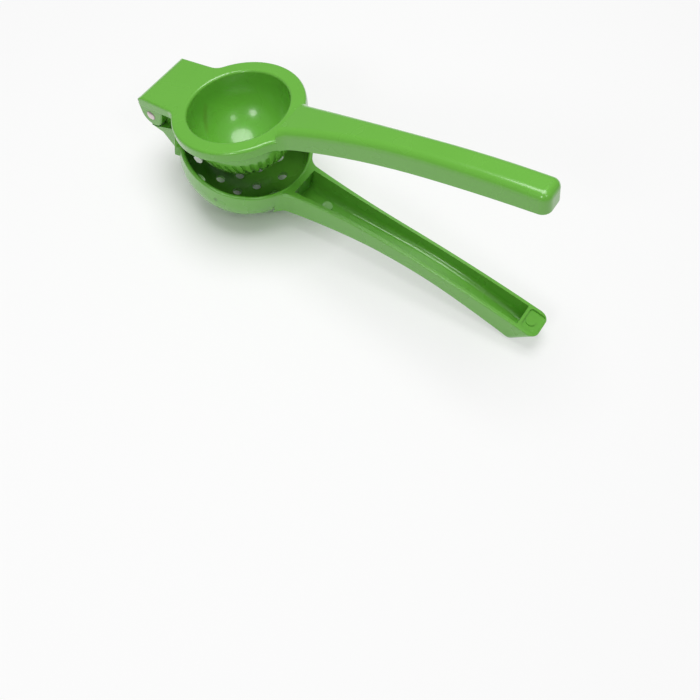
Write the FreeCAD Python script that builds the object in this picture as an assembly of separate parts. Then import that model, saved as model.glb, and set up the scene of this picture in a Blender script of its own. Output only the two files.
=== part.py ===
import FreeCAD, Part
import math
import os
from FreeCAD import Rotation, Vector

# Lengths are in millimetres and angles in degrees.
# Both levers are drawn closed, with the strainer's rim on z = 0 round the origin and the handles along +X.

# Press bowl and its ring, on the upper lever
bowl_radius = 24.5
bowl_depth = 30.2
bowl_wall = 2.0
bowl_floor = 2.3
bowl_straight = 7.2
ring_width = 7.5
ring_thickness = 5.5
ring_edge = 1.5
ring_under_edge = 0.8
bowl_lip = 1.3
flute_count = 40
flute_depth = 0.8
flute_share = 0.5
flute_top_angle = 15.0
flute_tip_angle = 76.0

# Strainer bowl, on the lower lever
press_gap = 3.8
floor_gap = 4.0
rim_gap = 0.4
strainer_wall = 2.0
strainer_floor = 2.2
strainer_straight = 7.5
hole_diameter = 4.6
hole_pitch = 10.8
hole_rings = 2
hole_shift = 2.5
strainer_lip = 0.7

# Hinge at the back of both levers
hinge_behind = 46.0
hinge_drop = 4.6
pin_diameter = 4.0
pin_play = 0.05
head_diameter = 5.0
head_height = 0.9
ear_radius = 6.3
ear_thickness = 4.0
ear_span = 31.5
ear_front = 15.8
ear_edge = 1.0
tab_half_width = 16.2
tab_root_half_width = 17.2
tab_root = 30.0
tab_blend = 7.0
tab_corner = 2.5
tab_barrel = 5.75
side_play = 0.3
slot_play = 0.5
neck_half_width = 15.5
neck_heel_run = 6.7
neck_heel_depth = 11.4
neck_keel_run = 2.5
neck_keel_depth = 18.6
neck_overlap = 1.0
shoulder_run = 3.1
shoulder_drop = 5.5
slot_angle = 40.0
collar_width = 2.2
collar_height = 6.0
collar_edge = 0.3
collar_angle = 46.0

# Handles
handle_gap = 0.8
handle_start = 27.0
handle_mid = 95.0
handle_split_mid = 9.9
handle_split_start = -0.4
handle_split_end = 14.0
handle_split_reach = 165.0

upper_reach = 159.0
upper_root_blend = 12.0
upper_step = 31.8
upper_step_height = 5.0
upper_top_mid = 15.4
upper_top_end = 18.0
upper_half_width = 6.5
upper_flare_from = 105.0
upper_flare_radius = 620.0
upper_crown = 3.6
upper_corner = 4.0
upper_wall = 1.9
upper_top_wall = 2.6
upper_hollow_from = 40.0
upper_hollow_end = 6.0
hollow_corner = 2.5

lower_reach = 165.9
lower_heel = 158.0
lower_root_blend = 8.0
lower_half_width = 7.4
lower_flare_from = 88.0
lower_flare_radius = 420.0
lower_corner = 4.0
lower_keel = 1.2
lower_edge = 0.6
lower_root_bottom = -16.2
lower_mid_x = 70.0
lower_mid_bottom = -5.1
lower_waist_x = 112.0
lower_waist_bottom = 1.9
lower_swell_x = 132.0
lower_swell_bottom = 2.0
lower_heel_bottom = 0.4
lower_wall = 1.8
lower_floor = 2.2
channel_from = 34.3
channel_to = 155.0
channel_half_width = 5.55
channel_flare_from = 95.0
channel_flare_radius = 740.0
channel_floor_edge = 2.5
post_x = 49.0
post_diameter = 5.0
post_floor = -7.3
post_height = 1.3
pad_depth = 1.0
pad_wall = 1.4
pad_corner = 1.5
pad_post_x = 159.4
pad_post_diameter = 5.0
pad_post_height = 0.6

# Opening between the levers as the squeezer lies on a table
rest_opening = 21.4

# Slack where an edge is told by its place, and how far a cutting body reaches past what it cuts
slack = 0.01
overshoot = 1.0

up = Vector(0, 0, 1)
across = Vector(0, 1, 0)
origin = Vector(0, 0, 0)

ring_radius = bowl_radius + ring_width
dome_radius = bowl_radius + bowl_wall
dome_semi_depth = bowl_depth + bowl_floor - bowl_straight
strainer_radius = dome_radius + press_gap
cup_radius = strainer_radius + strainer_wall
ring_top = rim_gap + ring_thickness
strainer_depth = bowl_depth + bowl_floor - ring_top + floor_gap
strainer_semi_depth = strainer_depth - strainer_straight
cup_semi_depth = strainer_semi_depth + strainer_floor
hinge = Vector(-hinge_behind, 0, -hinge_drop)
ear_outside = ear_span / 2
ear_inside = ear_outside - ear_thickness
knuckle_radius = hinge_drop
knuckle_half_width = ear_inside - side_play
tab_back = hinge_behind + ear_radius


def at(x, z, y=0.0):
    return Vector(x, y, z)


def line(start, end):
    return Part.LineSegment(start, end).toShape()


def arc(start, middle, end):
    return Part.Arc(start, middle, end).toShape()


def ellipse_arc(centre_z, radius, depth, start_angle, end_angle):
    """A part of the ellipse in the XZ plane, with angles counted down from +X."""
    curve = Part.Ellipse(at(radius, centre_z), at(0, centre_z - depth), at(0, centre_z))
    piece = Part.ArcOfEllipse(curve, math.radians(start_angle), math.radians(end_angle))
    return piece.toBSpline().toShape()


def ellipse_point(centre_z, radius, depth, angle):
    turn = math.radians(angle)
    return at(radius * math.cos(turn), centre_z - depth * math.sin(turn))


def face(edges):
    return Part.Face(Part.Wire(Part.__sortEdges__(edges)))


def turned(edges, angle=360.0):
    return face(edges).revolve(origin, up, angle)


def side_prism(edges, from_y, to_y):
    """The outline in the XZ plane, carried across from one y to another."""
    shape = face(edges).extrude(across * (to_y - from_y))
    shape.translate(across * from_y)
    return shape


def plan_prism(edges, from_z, to_z):
    """The outline in the XY plane, carried up from one z to another."""
    shape = face(edges).extrude(up * (to_z - from_z))
    shape.translate(up * from_z)
    return shape


def circles_meet(centre_a, radius_a, centre_b, radius_b):
    """The point where two circles in the XY plane meet, the one with the larger x."""
    between = centre_b - centre_a
    distance = between.Length
    along = (distance ** 2 + radius_a ** 2 - radius_b ** 2) / (2 * distance)
    aside = math.sqrt(radius_a ** 2 - along ** 2)
    unit = between / distance
    normal = Vector(-unit.y, unit.x, 0)
    foot = centre_a + unit * along
    return max(foot + normal * aside, foot - normal * aside, key=lambda point: point.x)


def touching(centre, radius, outside, turn):
    """Where the line from a point outside touches a circle in the XZ plane, on the side that turn picks."""
    away = outside - centre
    spread = math.acos(radius / away.Length)
    angle = math.atan2(away.z, away.x) + turn * spread
    return centre + at(math.cos(angle), math.sin(angle)) * radius


def on_circle(centre, radius, towards):
    away = towards - centre
    return centre + away * (radius / away.Length)


def mirrored(point):
    return Vector(point.x, -point.y, point.z)


def flare_point(x, half_width, flare_from, flare_radius):
    """The side of a handle in plan, straight to the end and flared towards the bowl."""
    run = max(flare_from - x, 0)
    return Vector(x, half_width + flare_radius - math.sqrt(flare_radius ** 2 - run ** 2), 0)


def root_points(hub_radius, blend, half_width, flare_from, flare_radius):
    """Where the hollow curve between bowl and handle starts, its centre, and where it ends."""
    flare_centre = Vector(flare_from, half_width + flare_radius, 0)
    centre = circles_meet(origin, hub_radius + blend, flare_centre, flare_radius - blend)
    at_flare = on_circle(flare_centre, flare_radius, centre)
    return on_circle(origin, hub_radius, centre), centre, at_flare


def both_sides(rows):
    """Edges through rows of two or three points, with their mirror images across y = 0."""
    edges = []
    for row in rows:
        shape = line if len(row) == 2 else arc
        edges.append(shape(*row))
        edges.append(shape(*[mirrored(point) for point in row]))
    return edges


def handle_plan(start_x, hub_radius, blend, half_width, flare_from, flare_radius, reach):
    """Plan of a handle that flares into a round hub, from start_x to its end."""
    at_hub, centre, at_flare = root_points(hub_radius, blend, half_width, flare_from, flare_radius)
    first = on_arc(at_hub, centre, blend, start_x)
    flare_end = Vector(flare_from, half_width, 0)
    flare_middle = flare_point((at_flare.x + flare_from) / 2, half_width, flare_from, flare_radius)
    blend_middle = on_circle(centre, blend, (first + at_flare) / 2)
    end = Vector(reach, half_width, 0)
    edges = both_sides([
        (first, blend_middle, at_flare),
        (at_flare, flare_middle, flare_end),
        (flare_end, end),
    ])
    return edges + [line(first, mirrored(first)), line(end, mirrored(end))]


def on_arc(at_hub, centre, blend, x):
    """The point of the root curve at x, or its start where x lies before it."""
    if x <= at_hub.x:
        return at_hub
    return Vector(x, centre.y - math.sqrt(blend ** 2 - (x - centre.x) ** 2), 0)


def split_height(x):
    """Height of the line where the closed handles face each other, on a circle through three points."""
    circle = Part.Arc(
        at(handle_start, handle_split_start),
        at(handle_mid, handle_split_mid),
        at(handle_split_reach, handle_split_end),
    ).toShape().Curve
    run = x - circle.Center.x
    return circle.Center.z + math.sqrt(circle.Radius ** 2 - run ** 2)


def split_arc(start_x, end_x, offset):
    """The facing line between two places, moved up or down."""
    points = [at(x, split_height(x) + offset) for x in (start_x, (start_x + end_x) / 2, end_x)]
    return arc(*points), points[0], points[2]


def spline(points):
    curve = Part.BSplineCurve()
    curve.interpolate(points)
    return curve.toShape()


def edges_where(shape, test):
    return [edge for edge in shape.Edges if test(edge)]


def make_plate():
    """The flat ring with its hinge tab, up to the foot of the upper handle."""
    at_hub, root_centre, _ = root_points(
        ring_radius, upper_root_blend, upper_half_width, upper_flare_from, upper_flare_radius)
    foot = on_arc(at_hub, root_centre, upper_root_blend, upper_step)
    root_middle = on_circle(root_centre, upper_root_blend, (at_hub + foot) / 2)

    tab_side = Vector(-tab_root, tab_root_half_width, 0)
    tab_end = Vector(-tab_back, tab_half_width, 0)
    along = (tab_end - tab_side).normalize()
    outward = Vector(along.y, -along.x, 0)
    if outward.y < 0:
        outward = outward * -1
    base = tab_side + outward * tab_blend
    reach = ring_radius + tab_blend
    dot = base.dot(along)
    run = -dot + math.sqrt(dot ** 2 - base.dot(base) + reach ** 2)
    tab_centre = base + along * run
    on_ring = on_circle(origin, ring_radius, tab_centre)
    on_tab = tab_centre - outward * tab_blend
    tab_middle = on_circle(tab_centre, tab_blend, (on_ring + on_tab) / 2)
    ring_middle = Vector(0, ring_radius, 0)
    corner_start = tab_end - along * tab_corner
    corner_end = tab_end - Vector(0, tab_corner, 0)
    corner_middle = tab_end - (along + across) * (tab_corner * (1 - math.sqrt(0.5)))

    edges = both_sides([
        (foot, root_middle, at_hub),
        (at_hub, ring_middle, on_ring),
        (on_ring, tab_middle, on_tab),
        (on_tab, corner_start),
        (corner_start, corner_middle, corner_end),
    ])
    edges += [line(foot, mirrored(foot)), line(corner_end, mirrored(corner_end))]
    plate = plan_prism(edges, rim_gap, ring_top)

    def rounded(height):
        def test(edge):
            flat = edge.BoundBox.ZLength < slack and abs(edge.BoundBox.ZMin - height) < slack
            across_end = edge.BoundBox.XLength < slack
            return flat and not across_end
        return test

    plate = plate.makeFillet(ring_edge, edges_where(plate, rounded(ring_top)))
    return plate.makeFillet(ring_under_edge, edges_where(plate, rounded(rim_gap)))


def make_ear():
    """One ear of the tab, on the +Y side, drawn out to the tab's back."""
    foot = at(-tab_back + ear_front, rim_gap)
    touch = touching(hinge, ear_radius, foot, -1)
    top = ring_top - tab_barrel
    back_top = at(-tab_back, top)
    back = at(-tab_back, hinge.z)
    inner_top = at(foot.x, top + ear_edge)
    edges = [
        line(back_top, back),
        arc(back, hinge - up * ear_radius, touch),
        line(touch, foot),
        line(foot, inner_top),
        line(inner_top, at(-tab_back, inner_top.z)),
        line(at(-tab_back, inner_top.z), back_top),
    ]
    ear = side_prism(edges, ear_inside, ear_outside)

    def outer_rim(edge):
        box = edge.BoundBox
        on_side = box.YLength < slack and box.YMin > ear_outside - slack
        return on_side and box.ZMax < foot.z + slack and box.ZLength > ear_edge
    return ear.makeFillet(ear_edge, edges_where(ear, outer_rim))


def make_dome():
    """The press bowl's outside below the ring, with flutes down its sides."""
    centre_z = ring_top - bowl_straight
    inside_ring = ring_top - ring_thickness / 2
    dome = turned([
        line(at(0, inside_ring), at(dome_radius, inside_ring)),
        line(at(dome_radius, inside_ring), at(dome_radius, centre_z)),
        ellipse_arc(centre_z, dome_radius, dome_semi_depth, 0, 90),
        line(at(0, centre_z - dome_semi_depth), at(0, inside_ring)),
    ])
    pitch = 360.0 / flute_count
    inner = (centre_z, dome_radius - flute_depth, dome_semi_depth - flute_depth)
    outer = (centre_z, dome_radius + flute_depth, dome_semi_depth + flute_depth)
    flute = turned([
        ellipse_arc(*inner, flute_top_angle, flute_tip_angle),
        ellipse_arc(*outer, flute_top_angle, flute_tip_angle),
        line(ellipse_point(*inner, flute_top_angle), ellipse_point(*outer, flute_top_angle)),
        line(ellipse_point(*inner, flute_tip_angle), ellipse_point(*outer, flute_tip_angle)),
    ], pitch * flute_share)
    flutes = []
    for index in range(flute_count):
        copy = flute.copy()
        copy.rotate(origin, up, (index - flute_share / 2) * pitch)
        flutes.append(copy)
    return dome.cut(flutes)


def bowl_hollow(radius, top, straight, semi_depth, lip):
    """The space inside a bowl, opened out at its mouth where the lip is rounded."""
    centre_z = top - straight
    above = top + lip
    lip_centre = at(radius + lip, top - lip)
    lip_middle = on_circle(lip_centre, lip, at(radius, top))
    return turned([
        line(at(0, above), at(radius + lip, above)),
        line(at(radius + lip, above), at(radius + lip, top)),
        arc(at(radius + lip, top), lip_middle, at(radius, top - lip)),
        line(at(radius, top - lip), at(radius, centre_z)),
        ellipse_arc(centre_z, radius, semi_depth, 0, 90),
        line(at(0, centre_z - semi_depth), at(0, above)),
    ])


def make_upper_handle():
    """The upper handle, crowned on top and hollow underneath, from its step at the ring."""
    shape = (upper_root_blend, upper_half_width, upper_flare_from, upper_flare_radius)
    outline = handle_plan(upper_step, ring_radius, *shape, upper_reach)
    plan = plan_prism(outline, rim_gap, ring_top + upper_top_end + overshoot)
    half_gap = handle_gap / 2
    facing, facing_start, facing_end = split_arc(upper_hollow_from, upper_reach, half_gap)
    step_foot = at(upper_step, rim_gap)
    step_top = at(upper_step, ring_top + upper_step_height)
    top_mid = at((upper_step + upper_reach) / 2, ring_top + upper_top_mid)
    top_end = at(upper_reach, ring_top + upper_top_end)
    side = side_prism([
        line(step_foot, facing_start),
        facing,
        line(facing_end, top_end),
        arc(top_end, top_mid, step_top),
        line(step_top, step_foot),
    ], -ring_radius, ring_radius)
    handle = plan.common(side)

    def end_corner(edge):
        box = edge.BoundBox
        return box.XLength < slack and box.YLength < slack and box.XMin > upper_reach - slack
    handle = handle.makeFillet(upper_corner, edges_where(handle, end_corner))

    def crown(edge):
        middle = edge.CenterOfMass
        above = middle.z > split_height(middle.x) + upper_step_height
        return above and edge.BoundBox.XMax > upper_step + slack
    return handle.makeFillet(upper_crown, edges_where(handle, crown))


def tapered_prism(sizes, start_x, end_x, from_z, to_z):
    """A block whose sides run straight to its end and flare towards the bowl."""
    flare_from = sizes[1]
    start = flare_point(start_x, *sizes)
    straight = flare_point(max(start_x, flare_from), *sizes)
    end = flare_point(end_x, *sizes)
    rows = [(straight, end)]
    if start_x < flare_from:
        rows.append((start, flare_point((start_x + flare_from) / 2, *sizes), straight))
    edges = both_sides(rows)
    edges += [line(start, mirrored(start)), line(end, mirrored(end))]
    return plan_prism(edges, from_z, to_z)


def rounded_ends(block, start_x, end_x, corner):
    """The block with its four upright corners rounded."""
    def upright(edge):
        box = edge.BoundBox
        at_an_end = box.XMax < start_x + slack or box.XMin > end_x - slack
        return at_an_end and box.ZLength > corner
    return block.makeFillet(corner, edges_where(block, upright))


def make_upper_hollow():
    """The space under the upper handle, with its roof one wall below the handle's top."""
    low = rim_gap - overshoot
    high = ring_top + upper_top_end + overshoot
    end_x = upper_reach - upper_hollow_end
    sizes = (upper_half_width - upper_wall, upper_flare_from, upper_flare_radius)
    prism = tapered_prism(sizes, upper_hollow_from, end_x, low, high)
    prism = rounded_ends(prism, upper_hollow_from, end_x, hollow_corner)
    roof = ring_top - upper_top_wall
    step_top = at(upper_step, roof + upper_step_height)
    top_mid = at((upper_step + upper_reach) / 2, roof + upper_top_mid)
    top_end = at(upper_reach, roof + upper_top_end)
    side = side_prism([
        line(at(upper_step, low), at(upper_reach, low)),
        line(at(upper_reach, low), top_end),
        arc(top_end, top_mid, step_top),
        line(step_top, at(upper_step, low)),
    ], -ring_radius, ring_radius)
    return prism.common(side)


def make_barrel_waste():
    """What is cut away above the rounded back of the tab."""
    top_back = at(-tab_back, ring_top)
    centre = at(-tab_back + tab_barrel, ring_top - tab_barrel)
    back = at(-tab_back, ring_top - tab_barrel)
    top = at(-tab_back + tab_barrel, ring_top)
    above = top + up * overshoot
    behind = back - Vector(overshoot, 0, 0)
    return side_prism([
        arc(back, on_circle(centre, tab_barrel, top_back), top),
        line(top, above),
        line(above, at(behind.x, above.z)),
        line(at(behind.x, above.z), behind),
        line(behind, back),
    ], -ring_radius, ring_radius)


def pin_hole(radius):
    return Part.makeCylinder(radius, 2 * ring_radius, hinge - across * ring_radius, across)


def make_upper_lever():
    ear = make_ear()
    other_ear = ear.mirror(origin, across)
    lever = make_plate().fuse([make_dome(), make_upper_handle(), ear, other_ear])
    hollow = bowl_hollow(bowl_radius, ring_top, bowl_straight, bowl_depth - bowl_straight, bowl_lip)
    return lever.cut([hollow, make_upper_hollow(), make_barrel_waste(), pin_hole(pin_diameter / 2)])


def make_cup():
    """The strainer bowl's outside, with the outer half of its rounded rim."""
    centre_z = -strainer_straight
    edge = strainer_wall / 2
    edge_centre = at(cup_radius - edge, -edge)
    return turned([
        line(origin, at(cup_radius - edge, 0)),
        arc(at(cup_radius - edge, 0), on_circle(edge_centre, edge, at(cup_radius, 0)), at(cup_radius, -edge)),
        line(at(cup_radius, -edge), at(cup_radius, centre_z)),
        ellipse_arc(centre_z, cup_radius, cup_semi_depth, 0, 90),
        line(at(0, centre_z - cup_semi_depth), origin),
    ])


def make_collar():
    """The thicker band that carries the neck part of the way round the strainer bowl."""
    inner = strainer_radius + strainer_wall / 2
    outer = cup_radius + collar_width
    edge = collar_width / 2
    profile = [
        line(at(inner, -collar_edge), at(outer - edge, -collar_edge)),
        arc(at(outer - edge, -collar_edge),
            on_circle(at(outer - edge, -collar_edge - edge), edge, at(outer, -collar_edge)),
            at(outer, -collar_edge - edge)),
        line(at(outer, -collar_edge - edge), at(outer, -collar_height)),
        line(at(outer, -collar_height), at(inner, -collar_height - collar_width)),
        line(at(inner, -collar_height - collar_width), at(inner, -collar_edge)),
    ]
    collar = turned(profile, 2 * collar_angle)
    collar.rotate(origin, up, 180 - collar_angle)
    return collar


def make_neck():
    """The neck and the knuckle on its end, cut back beside the knuckle where the ears turn."""
    knuckle_top = hinge + up * knuckle_radius
    heel = at(-cup_radius - neck_heel_run, -neck_heel_depth)
    keel = at(-cup_radius + neck_keel_run, -neck_keel_depth)
    inner_top = at(-strainer_radius + neck_overlap, 0)
    inner_foot = at(inner_top.x, -neck_keel_depth)
    touch = touching(hinge, knuckle_radius, heel, -1)
    knuckle_back = hinge - Vector(knuckle_radius, 0, 0)
    outline = [
        line(knuckle_top, inner_top),
        line(inner_top, inner_foot),
        line(inner_foot, keel),
        line(keel, heel),
        line(heel, touch),
        arc(touch, knuckle_back, knuckle_top),
    ]
    middle = side_prism(outline, -knuckle_half_width, knuckle_half_width)
    slot_radius = ear_radius + slot_play
    slot_turn = math.radians(slot_angle)
    shoulder_low = hinge + at(math.cos(slot_turn), -math.sin(slot_turn)) * slot_radius
    shoulder_high = at(-cup_radius - shoulder_run, -shoulder_drop)
    cup_side = at(-cup_radius + neck_overlap, -shoulder_drop + shoulder_run)
    shoulder_heel = touching(hinge, slot_radius, heel, -1)
    slot_low = on_circle(hinge, slot_radius, (shoulder_low + shoulder_heel) / 2)
    shoulders = side_prism([
        arc(shoulder_heel, slot_low, shoulder_low),
        line(shoulder_low, shoulder_high),
        line(shoulder_high, cup_side),
        line(cup_side, at(inner_top.x, cup_side.z)),
        line(at(inner_top.x, cup_side.z), inner_foot),
        line(inner_foot, keel),
        line(keel, heel),
        line(heel, shoulder_heel),
    ], -neck_half_width, neck_half_width)
    return middle.fuse(shoulders)


def lower_bottom_points(lift):
    rows = [
        (handle_start, lower_root_bottom),
        (lower_mid_x, lower_mid_bottom),
        (lower_waist_x, lower_waist_bottom),
        (lower_swell_x, lower_swell_bottom),
        (lower_heel, lower_heel_bottom),
    ]
    return [at(x, z + lift) for x, z in rows]


def make_lower_handle():
    """The lower handle, a solid bar until its channel is cut."""
    shape = (lower_root_blend, lower_half_width, lower_flare_from, lower_flare_radius)
    outline = handle_plan(handle_start, cup_radius, *shape, lower_reach)
    plan = plan_prism(outline, -ring_radius, ring_radius)
    facing, facing_start, facing_end = split_arc(handle_start, lower_reach, -handle_gap / 2)
    bottom = lower_bottom_points(0)
    side = side_prism([
        facing,
        line(facing_start, bottom[0]),
        spline(bottom),
        line(bottom[-1], facing_end),
    ], -ring_radius, ring_radius)
    handle = plan.common(side)

    def end_corner(edge):
        box = edge.BoundBox
        return box.XMin > lower_heel - slack and box.YLength < slack and box.ZLength > lower_corner
    handle = handle.makeFillet(lower_corner, edges_where(handle, end_corner))

    def keel(edge):
        middle = edge.CenterOfMass
        below = middle.z < split_height(middle.x) - 2 * lower_floor
        return below and edge.BoundBox.XLength > slack
    handle = handle.makeFillet(lower_keel, edges_where(handle, keel))

    def top_side(edge):
        middle = edge.CenterOfMass
        facing_edge = middle.z > split_height(middle.x) - handle_gap
        return facing_edge and edge.BoundBox.XLength > slack
    return handle.makeFillet(lower_edge, edges_where(handle, top_side))


def make_channel():
    """The channel in the lower handle, with a rounded floor one wall above the handle's underside."""
    high = 2 * handle_split_end
    sizes = (channel_half_width, channel_flare_from, channel_flare_radius)
    prism = tapered_prism(sizes, channel_from, channel_to, -ring_radius, high)
    floor = lower_bottom_points(lower_floor)
    side = side_prism([
        spline(floor),
        line(floor[-1], at(lower_reach, floor[-1].z)),
        line(at(lower_reach, floor[-1].z), at(lower_reach, high)),
        line(at(lower_reach, high), at(handle_start, high)),
        line(at(handle_start, high), floor[0]),
    ], -ring_radius, ring_radius)
    channel = prism.common(side)

    def floor_side(edge):
        return edge.BoundBox.ZMax < high - slack and edge.BoundBox.XLength > slack
    return channel.makeFillet(channel_floor_edge, edges_where(channel, floor_side))


def make_pad_hollow():
    """The shallow pocket in the end block of the lower handle."""
    sizes = (lower_half_width - lower_wall, lower_flare_from, lower_flare_radius)
    top = split_height(channel_to) - handle_gap / 2
    low = top - 2 * pad_depth
    high = split_height(lower_reach) + pad_depth
    start = channel_to + pad_wall
    end = lower_reach - pad_wall
    prism = rounded_ends(tapered_prism(sizes, start, end, low, high), start, end, pad_corner)
    floor, floor_start, floor_end = split_arc(channel_to, lower_reach, -handle_gap / 2 - pad_depth)
    side = side_prism([
        floor,
        line(floor_end, at(floor_end.x, high)),
        line(at(floor_end.x, high), at(floor_start.x, high)),
        line(at(floor_start.x, high), floor_start),
    ], -ring_radius, ring_radius)
    return prism.common(side)


def post(x, diameter, base_z, top_z):
    return Part.makeCylinder(diameter / 2, top_z - base_z, at(x, base_z))


def strainer_holes():
    """Holes drilled straight down, on rings of six, twelve and so on round a middle one, nearer the hinge."""
    deep = strainer_depth + strainer_floor
    hole = Part.makeCylinder(hole_diameter / 2, 2 * deep, at(-hole_shift, -2 * deep))
    holes = [hole]
    for ring in range(1, hole_rings + 1):
        count = 6 * ring
        for index in range(count):
            turn = math.radians(360.0 * index / count)
            copy = hole.copy()
            copy.translate(Vector(math.cos(turn), math.sin(turn), 0) * (ring * hole_pitch))
            holes.append(copy)
    return holes


def make_lower_lever():
    hollow = bowl_hollow(strainer_radius, 0, strainer_straight, strainer_semi_depth, strainer_lip)
    lever = make_cup().fuse([make_collar(), make_neck(), make_lower_handle()])
    lever = lever.cut([hollow, make_channel(), make_pad_hollow(), pin_hole(pin_diameter / 2 + pin_play)])
    lever = lever.cut(strainer_holes())
    floor_z = post_floor
    pad_z = split_height(pad_post_x) - handle_gap / 2 - pad_depth
    return lever.fuse([
        post(post_x, post_diameter, floor_z - lower_floor / 2, floor_z + post_height),
        post(pad_post_x, pad_post_diameter, pad_z - pad_depth, pad_z + pad_post_height),
    ])


def make_hinge_pin():
    """The rivet, with a low domed head on each side."""
    shank = Part.makeCylinder(pin_diameter / 2, ear_span, hinge - across * ear_outside, across)
    head_radius = head_diameter / 2
    rim = at(head_radius, 0)
    crown = at(0, head_height)
    dome_curve = (head_radius ** 2 + head_height ** 2) / (2 * head_height)
    dome_centre = at(0, head_height - dome_curve)
    shoulder = on_circle(dome_centre, dome_curve, (rim + crown) / 2)
    head = turned([line(origin, rim), arc(rim, shoulder, crown), line(crown, origin)])
    head.rotate(origin, Vector(1, 0, 0), -90)
    head.translate(hinge + across * ear_outside)
    return shank.fuse([head, head.mirror(origin, across)])


def resting_pitch():
    """Nose-down turn at which the strainer bowl and the heel of the lower handle touch the table."""
    rim_depth = strainer_straight + lower_heel_bottom
    reach = lower_heel
    spread = reach ** 2 - cup_radius ** 2
    rise = rim_depth ** 2 - cup_semi_depth ** 2
    slope = (reach * rim_depth + math.sqrt((reach * rim_depth) ** 2 - spread * rise)) / spread
    return math.degrees(math.atan(slope))


upper_lever = make_upper_lever()
lower_lever = make_lower_lever()
hinge_pin = make_hinge_pin()

for shape in (upper_lever, hinge_pin):
    shape.rotate(hinge, across, -rest_opening)
pitch = resting_pitch()
for shape in (upper_lever, lower_lever, hinge_pin):
    shape.rotate(origin, across, pitch)

boxes = [shape.optimalBoundingBox(False, False) for shape in (upper_lever, lower_lever)]
low_x = min(box.XMin for box in boxes)
high_x = max(box.XMax for box in boxes)
low_z = min(box.ZMin for box in boxes)
to_table = Vector(-(low_x + high_x) / 2, 0, -low_z)

os.makedirs("parts", exist_ok=True)
named = {"upper_lever": upper_lever, "lower_lever": lower_lever, "hinge_pin": hinge_pin}
for name, shape in named.items():
    shape.translate(to_table)
    shape.exportStep(os.path.join("parts", name + ".step"))
    print(name, shape.isValid(), len(shape.Solids), round(shape.Volume / 1000, 2), "cm3")

hinge_place = Rotation(across, pitch).multVec(hinge) + to_table
ring_normal = Rotation(across, pitch - rest_opening).multVec(up)
ring_middle = at(0, ring_top, (bowl_radius + ring_radius) / 2)
ring_point = hinge + Rotation(across, -rest_opening).multVec(ring_middle - hinge)
ring_place = Rotation(across, pitch).multVec(ring_point) + to_table
print("pitch", round(pitch, 3))
print("hinge", hinge_place)
print("ring face", ring_place, ring_normal)
for name in ("upper_lever", "hinge_pin"):
    print("overlap of lower_lever and", name, round(lower_lever.common(named[name]).Volume, 3))
print("box", low_x + to_table.x, high_x + to_table.x, max(box.ZMax for box in boxes) - low_z)
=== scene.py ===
import math

import bmesh
import bpy
from mathutils import Euler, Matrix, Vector


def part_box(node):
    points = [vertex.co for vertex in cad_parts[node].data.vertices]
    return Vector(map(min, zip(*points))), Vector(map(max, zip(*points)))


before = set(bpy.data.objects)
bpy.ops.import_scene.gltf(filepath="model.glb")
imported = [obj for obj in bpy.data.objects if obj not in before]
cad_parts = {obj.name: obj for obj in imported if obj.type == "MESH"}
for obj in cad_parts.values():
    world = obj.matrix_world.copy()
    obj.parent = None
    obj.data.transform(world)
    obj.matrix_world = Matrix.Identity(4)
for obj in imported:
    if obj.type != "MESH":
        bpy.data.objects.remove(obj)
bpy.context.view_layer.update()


# Upper lever: one aluminium casting with the press bowl, its flat ring, the hinge ears and the handle.
# It is sprayed leaf green and baked, so the paint is thick enough to soften every edge.
# The rivet through its ears holds it to the lower lever.

class Socket:
    """A shader socket that can be added to or multiplied by a number or another socket."""

    def __init__(self, paint, value):
        self.paint = paint
        self.value = value

    def join(self, operation, other, swapped=False):
        first, second = (other, self) if swapped else (self, other)
        return self.paint.node("ShaderNodeMath", {"operation": operation}, {0: first, 1: second})

    def __add__(self, other):
        return self.join("ADD", other)

    def __radd__(self, other):
        return self.join("ADD", other, True)

    def __mul__(self, other):
        return self.join("MULTIPLY", other)


class Finish:
    """A material whose nodes are made one call at a time."""

    def __init__(self, name):
        self.material = bpy.data.materials.new(name)
        self.material.use_nodes = True
        self.tree = self.material.node_tree
        self.surface = self.tree.nodes["Principled BSDF"]

    def node(self, kind, settings=None, inputs=None, output=0):
        made = self.tree.nodes.new(kind)
        for key, value in (settings or {}).items():
            setattr(made, key, value)
        for key, value in (inputs or {}).items():
            self.plug(made.inputs[key], value)
        return Socket(self, made.outputs[output])

    def plug(self, socket, value):
        if isinstance(value, Socket):
            value = value.value
        if isinstance(value, bpy.types.NodeSocket):
            self.tree.links.new(value, socket)
        else:
            socket.default_value = value

    def set(self, **inputs):
        for key, value in inputs.items():
            self.plug(self.surface.inputs[key.replace("_", " ")], value)


def enamel(name):
    """Glossy leaf-green enamel, a little uneven in tone and gloss, with a faint ripple."""
    paint = Finish(name)
    place = paint.node("ShaderNodeTexCoord", output=3)
    cloud = paint.node("ShaderNodeTexNoise", None, {"Vector": place, "Scale": 38.0, "Detail": 3.0})
    specks = paint.node("ShaderNodeTexNoise", None, {"Vector": place, "Scale": 1400.0, "Detail": 1.0})
    ripple = paint.node("ShaderNodeTexNoise", None, {"Vector": place, "Scale": 300.0, "Detail": 1.5})
    tone = paint.node("ShaderNodeMix", {"data_type": "RGBA"}, {
        0: cloud * 0.7 + specks * 0.3, 6: (0.13, 0.435, 0.038, 1), 7: (0.16, 0.49, 0.053, 1)}, output=2)
    relief = paint.node("ShaderNodeBump", None, {
        "Strength": 0.12, "Distance": 0.0003, "Height": ripple * 0.8 + specks * 0.2})
    paint.set(Base_Color=tone, Roughness=0.2 + cloud * 0.14, Normal=relief)
    paint.set(Coat_Weight=0.5, Coat_Roughness=0.08)
    return paint, place, tone


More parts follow.
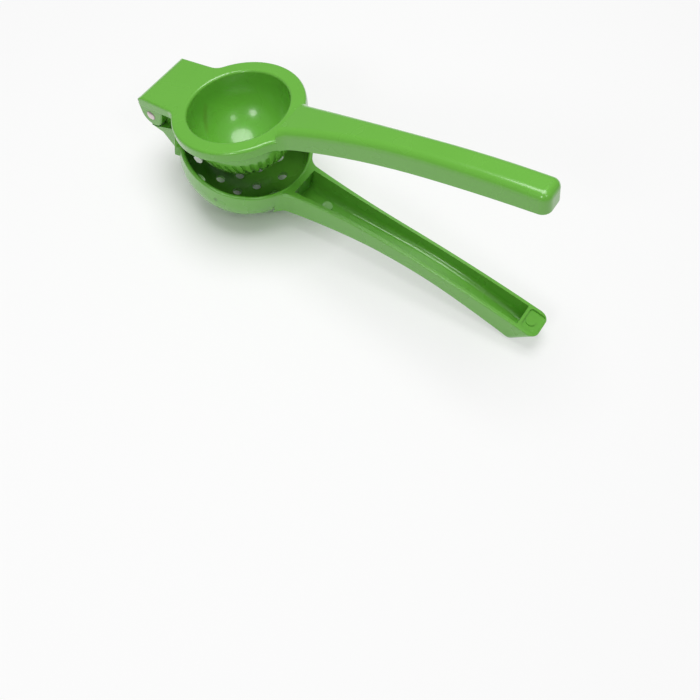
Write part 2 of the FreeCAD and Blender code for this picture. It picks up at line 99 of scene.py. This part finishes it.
def soft_mark(paint, place, centre, along, size):
    """A mask that is 1 at the centre of a mark and fades to 0 at its edge, drawn out along one direction."""
    turn = Vector(along).to_track_quat("Z", "Y").to_euler()
    inside = paint.node("ShaderNodeMapping", {"vector_type": "TEXTURE"}, {
        "Vector": place, "Location": centre, "Rotation": turn, "Scale": size})
    reach = paint.node("ShaderNodeVectorMath", {"operation": "LENGTH"}, {0: inside}, output=1)
    return paint.node("ShaderNodeMath", {"operation": "SUBTRACT", "use_clamp": True}, {0: 1.0, 1: reach})


def give(node_name, material):
    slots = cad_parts[node_name].data.materials
    slots.clear()
    slots.append(material)


# A faint dark brownish streak painted down the bowl's wall on the hinge side is a painted reflection of the
# surroundings.
def upper_paint():
    paint, place, green = enamel("upper_lever_paint")
    # Painted reflection: a dark brownish streak mixed into the green down the bowl's wall.
    painted_reflection_streak = soft_mark(paint, place, centre=(-0.078, -0.0025, 0.0385), along=(5.2, -6.7, -7.4),
                      size=(0.002, 0.002, 0.009))
    broken = paint.node("ShaderNodeTexNoise", None, {"Vector": place, "Scale": 900.0, "Detail": 3.0})
    streaked_green = paint.node("ShaderNodeMix", {"data_type": "RGBA"}, {
        0: painted_reflection_streak * broken * 0.9, 6: green, 7: (0.12, 0.12, 0.015, 1)}, output=2)
    paint.set(Base_Color=streaked_green)
    return paint.material


give("upper_lever", upper_paint())


# Lower lever: the second casting, with the strainer bowl, the hinge neck and the channelled handle.
# The strainer holes are drilled and the whole is sprayed in the same green.
# A short scratch on the outside of the bowl has gone through the paint's gloss.
def lower_paint():
    paint, place, green = enamel("lower_lever_paint")
    scratch = soft_mark(paint, place, centre=(-0.0516, -0.0317, 0.0250), along=(-0.4, 0.0, 2.9),
                        size=(0.0003, 0.002, 0.002))
    scuffed = paint.node("ShaderNodeMix", {"data_type": "RGBA"}, {
        0: scratch * 0.8, 6: green, 7: (0.04, 0.10, 0.02, 1)}, output=2)
    paint.set(Base_Color=scuffed)
    return paint.material


give("lower_lever", lower_paint())


# Hinge pin: a plain steel rivet, headed on both sides.
# It is pressed into the ears and turns in the knuckle. A dark ring painted at the rim of each head stands in
# for the shade in the gap round it.
def rivet_steel():
    low, high = (Vector(corner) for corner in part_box("hinge_pin"))
    steel = Finish("rivet_steel")
    place = steel.node("ShaderNodeTexCoord", output=3)
    pin_stretch = 1000.0
    from_axis = steel.node("ShaderNodeMapping", {"vector_type": "TEXTURE"}, {
        "Vector": place, "Location": (low + high) / 2, "Scale": (1.0, pin_stretch, 1.0)})
    radius = steel.node("ShaderNodeVectorMath", {"operation": "LENGTH"}, {0: from_axis}, output=1)
    dull = steel.node("ShaderNodeTexNoise", None, {"Vector": place, "Scale": 900.0, "Detail": 4.0})
    head_radius = (high.x - low.x) / 2
    shade_start_radius = 0.8 * head_radius
    # Painted shade: the rim of each head is darkened where the gap round it lies in shade.
    edge = steel.node("ShaderNodeMapRange", None, {
        "Value": radius, "From Min": shade_start_radius, "From Max": head_radius})
    bare_steel = steel.node("ShaderNodeMix", {"data_type": "RGBA"}, {
        0: dull, 6: (0.6, 0.5, 0.51, 1), 7: (0.88, 0.79, 0.8, 1)}, output=2)
    gap_shaded_steel = steel.node("ShaderNodeMix", {"data_type": "RGBA"}, {
        0: edge * 0.8, 6: bare_steel, 7: (0.12, 0.1, 0.08, 1)}, output=2)
    steel.set(Base_Color=gap_shaded_steel, Metallic=1.0, Roughness=0.22 + dull * 0.2 + edge * 0.3)
    return steel.material


give("hinge_pin", rivet_steel())


# Table and light: a plain white table under soft lamps, which the camera sees nearly white.
# Its glow fades out under the strainer, so that the drilled holes stay dim.
def make_table():
    mesh = bmesh.new()
    bmesh.ops.create_grid(mesh, x_segments=1, y_segments=1, size=4.0)
    data = bpy.data.meshes.new("table")
    mesh.to_mesh(data)
    mesh.free()
    table = bpy.data.objects.new("table", data)
    bpy.context.scene.collection.objects.link(table)
    white = Finish("table_white")
    white.set(Base_Color=(0.92, 0.92, 0.92, 1), Roughness=0.9)
    place = white.node("ShaderNodeTexCoord", output=3)
    strainer_foot = (-0.056, 0.0, 0.0)
    fade_start = 0.02
    fade_end = 0.06
    from_strainer = white.node("ShaderNodeVectorMath", {"operation": "DISTANCE"}, {
        0: place, 1: strainer_foot}, output=1)
    open_floor = white.node("ShaderNodeMapRange", None, {
        "Value": from_strainer, "From Min": fade_start, "From Max": fade_end})
    glow_share = 0.5
    rays = [white.node("ShaderNodeLightPath", output=name)
            for name in ("Is Camera Ray", "Is Glossy Ray", "Is Transmission Ray")]
    glow = white.node("ShaderNodeEmission", None, {"Color": (1, 1, 1, 1), "Strength": 1.0})
    shown = white.node("ShaderNodeMixShader", None, {
        0: (rays[0] + rays[1] + rays[2]) * open_floor * glow_share, 1: white.surface.outputs[0], 2: glow})
    white.plug(white.tree.nodes["Material Output"].inputs["Surface"], shown)
    data.materials.append(white.material)


make_table()


def soft_lamp(name, place, target, size, power):
    lamp = bpy.data.lights.new(name, "AREA")
    lamp.shape = "DISK"
    lamp.size = size
    lamp.energy = power
    holder = bpy.data.objects.new(name, lamp)
    holder.location = place
    holder.rotation_euler = (Vector(target) - Vector(place)).to_track_quat("-Z", "Y").to_euler()
    bpy.context.scene.collection.objects.link(holder)


object_middle = (0, 0, 0.04)
bowl_middle = (-0.06, 0, 0.04)
soft_lamp("top_lamp", place=(-0.1, 0.15, 1.1), target=object_middle, size=0.8, power=9)
soft_lamp("left_lamp", place=(0.04, -0.69, 0.61), target=bowl_middle, size=0.25, power=1.2)
soft_lamp("right_lamp", place=(0.52, -0.2, 0.7), target=bowl_middle, size=0.2, power=0.5)

world = bpy.data.worlds.new("studio")
bpy.context.scene.world = world
world.use_nodes = True
sky = world.node_tree.nodes["Background"].inputs
sky["Color"].default_value = (1, 1, 1, 1)
sky["Strength"].default_value = 0.25

camera_data = bpy.data.cameras.new("camera")
camera_data.lens = 43.5
camera = bpy.data.objects.new("camera", camera_data)
camera.location = (0.148686, -0.209048, 0.339696)
camera_turn = (29.318, 0.484, 34.056)
camera.rotation_euler = Euler([math.radians(angle) for angle in camera_turn])
bpy.context.scene.collection.objects.link(camera)
bpy.context.scene.camera = camera
bpy.context.scene.view_settings.view_transform = "Standard"
